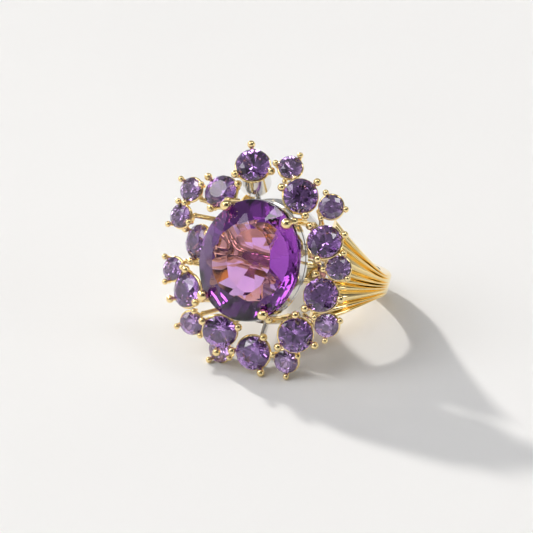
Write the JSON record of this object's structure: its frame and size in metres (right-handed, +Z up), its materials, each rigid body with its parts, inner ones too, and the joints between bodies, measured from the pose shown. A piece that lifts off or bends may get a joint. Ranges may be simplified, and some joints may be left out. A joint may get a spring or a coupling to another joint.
{
  "type": "cocktail ring",
  "caption": "Gold cocktail ring with a large violet oval stone in a claw basket, an irregular star of round accent stones and a fluted shank, lying on its side.",
  "frame": {"origin": "on the table the ring lies on, below the middle of its bounding box", "axes": "+Z up from the table; the head faces -Y and up, its long axis leans back; +X is across the finger, to the right of the head as seen from the front"},
  "size_m": [0.025, 0.0272, 0.0236],
  "materials": {
    "gold": "polished yellow gold plate",
    "white_metal": "polished rhodium plate",
    "oval_gem": "faceted deep violet gemstone",
    "accent_gem": "faceted violet gemstone"
  },
  "bodies": {
    "root": {"shank": "gold", "gallery": "white_metal", "basket": "white_metal", "claw_1": "gold", "claw_2": "gold", "claw_3": "gold", "claw_4": "gold", "bridge_1": "white_metal", "bridge_2": "white_metal", "bridge_3": "white_metal", "oval_stone": "oval_gem", "large_setting_1": "gold", "large_setting_2": "gold", "large_setting_3": "gold", "large_setting_4": "gold", "large_setting_5": "gold", "large_setting_6": "gold", "large_setting_7": "gold", "large_setting_8": "gold", "large_setting_9": "gold", "large_setting_10": "gold", "large_stone_1": "accent_gem", "large_stone_2": "accent_gem", "large_stone_3": "accent_gem", "large_stone_4": "accent_gem", "large_stone_5": "accent_gem", "large_stone_6": "accent_gem", "large_stone_7": "accent_gem", "large_stone_8": "accent_gem", "large_stone_9": "accent_gem", "large_stone_10": "accent_gem", "small_setting_1": "gold", "small_setting_2": "gold", "small_setting_3": "gold", "small_setting_4": "gold", "small_setting_5": "gold", "small_setting_6": "gold", "small_setting_7": "gold", "small_setting_8": "gold", "small_setting_9": "gold", "small_setting_10": "gold", "small_stone_1": "accent_gem", "small_stone_2": "accent_gem", "small_stone_3": "accent_gem", "small_stone_4": "accent_gem", "small_stone_5": "accent_gem", "small_stone_6": "accent_gem", "small_stone_7": "accent_gem", "small_stone_8": "accent_gem", "small_stone_9": "accent_gem", "small_stone_10": "accent_gem", "small_arms": "gold", "large_cups": "white_metal", "small_cups": "white_metal"}
  },
  "joints": []
}
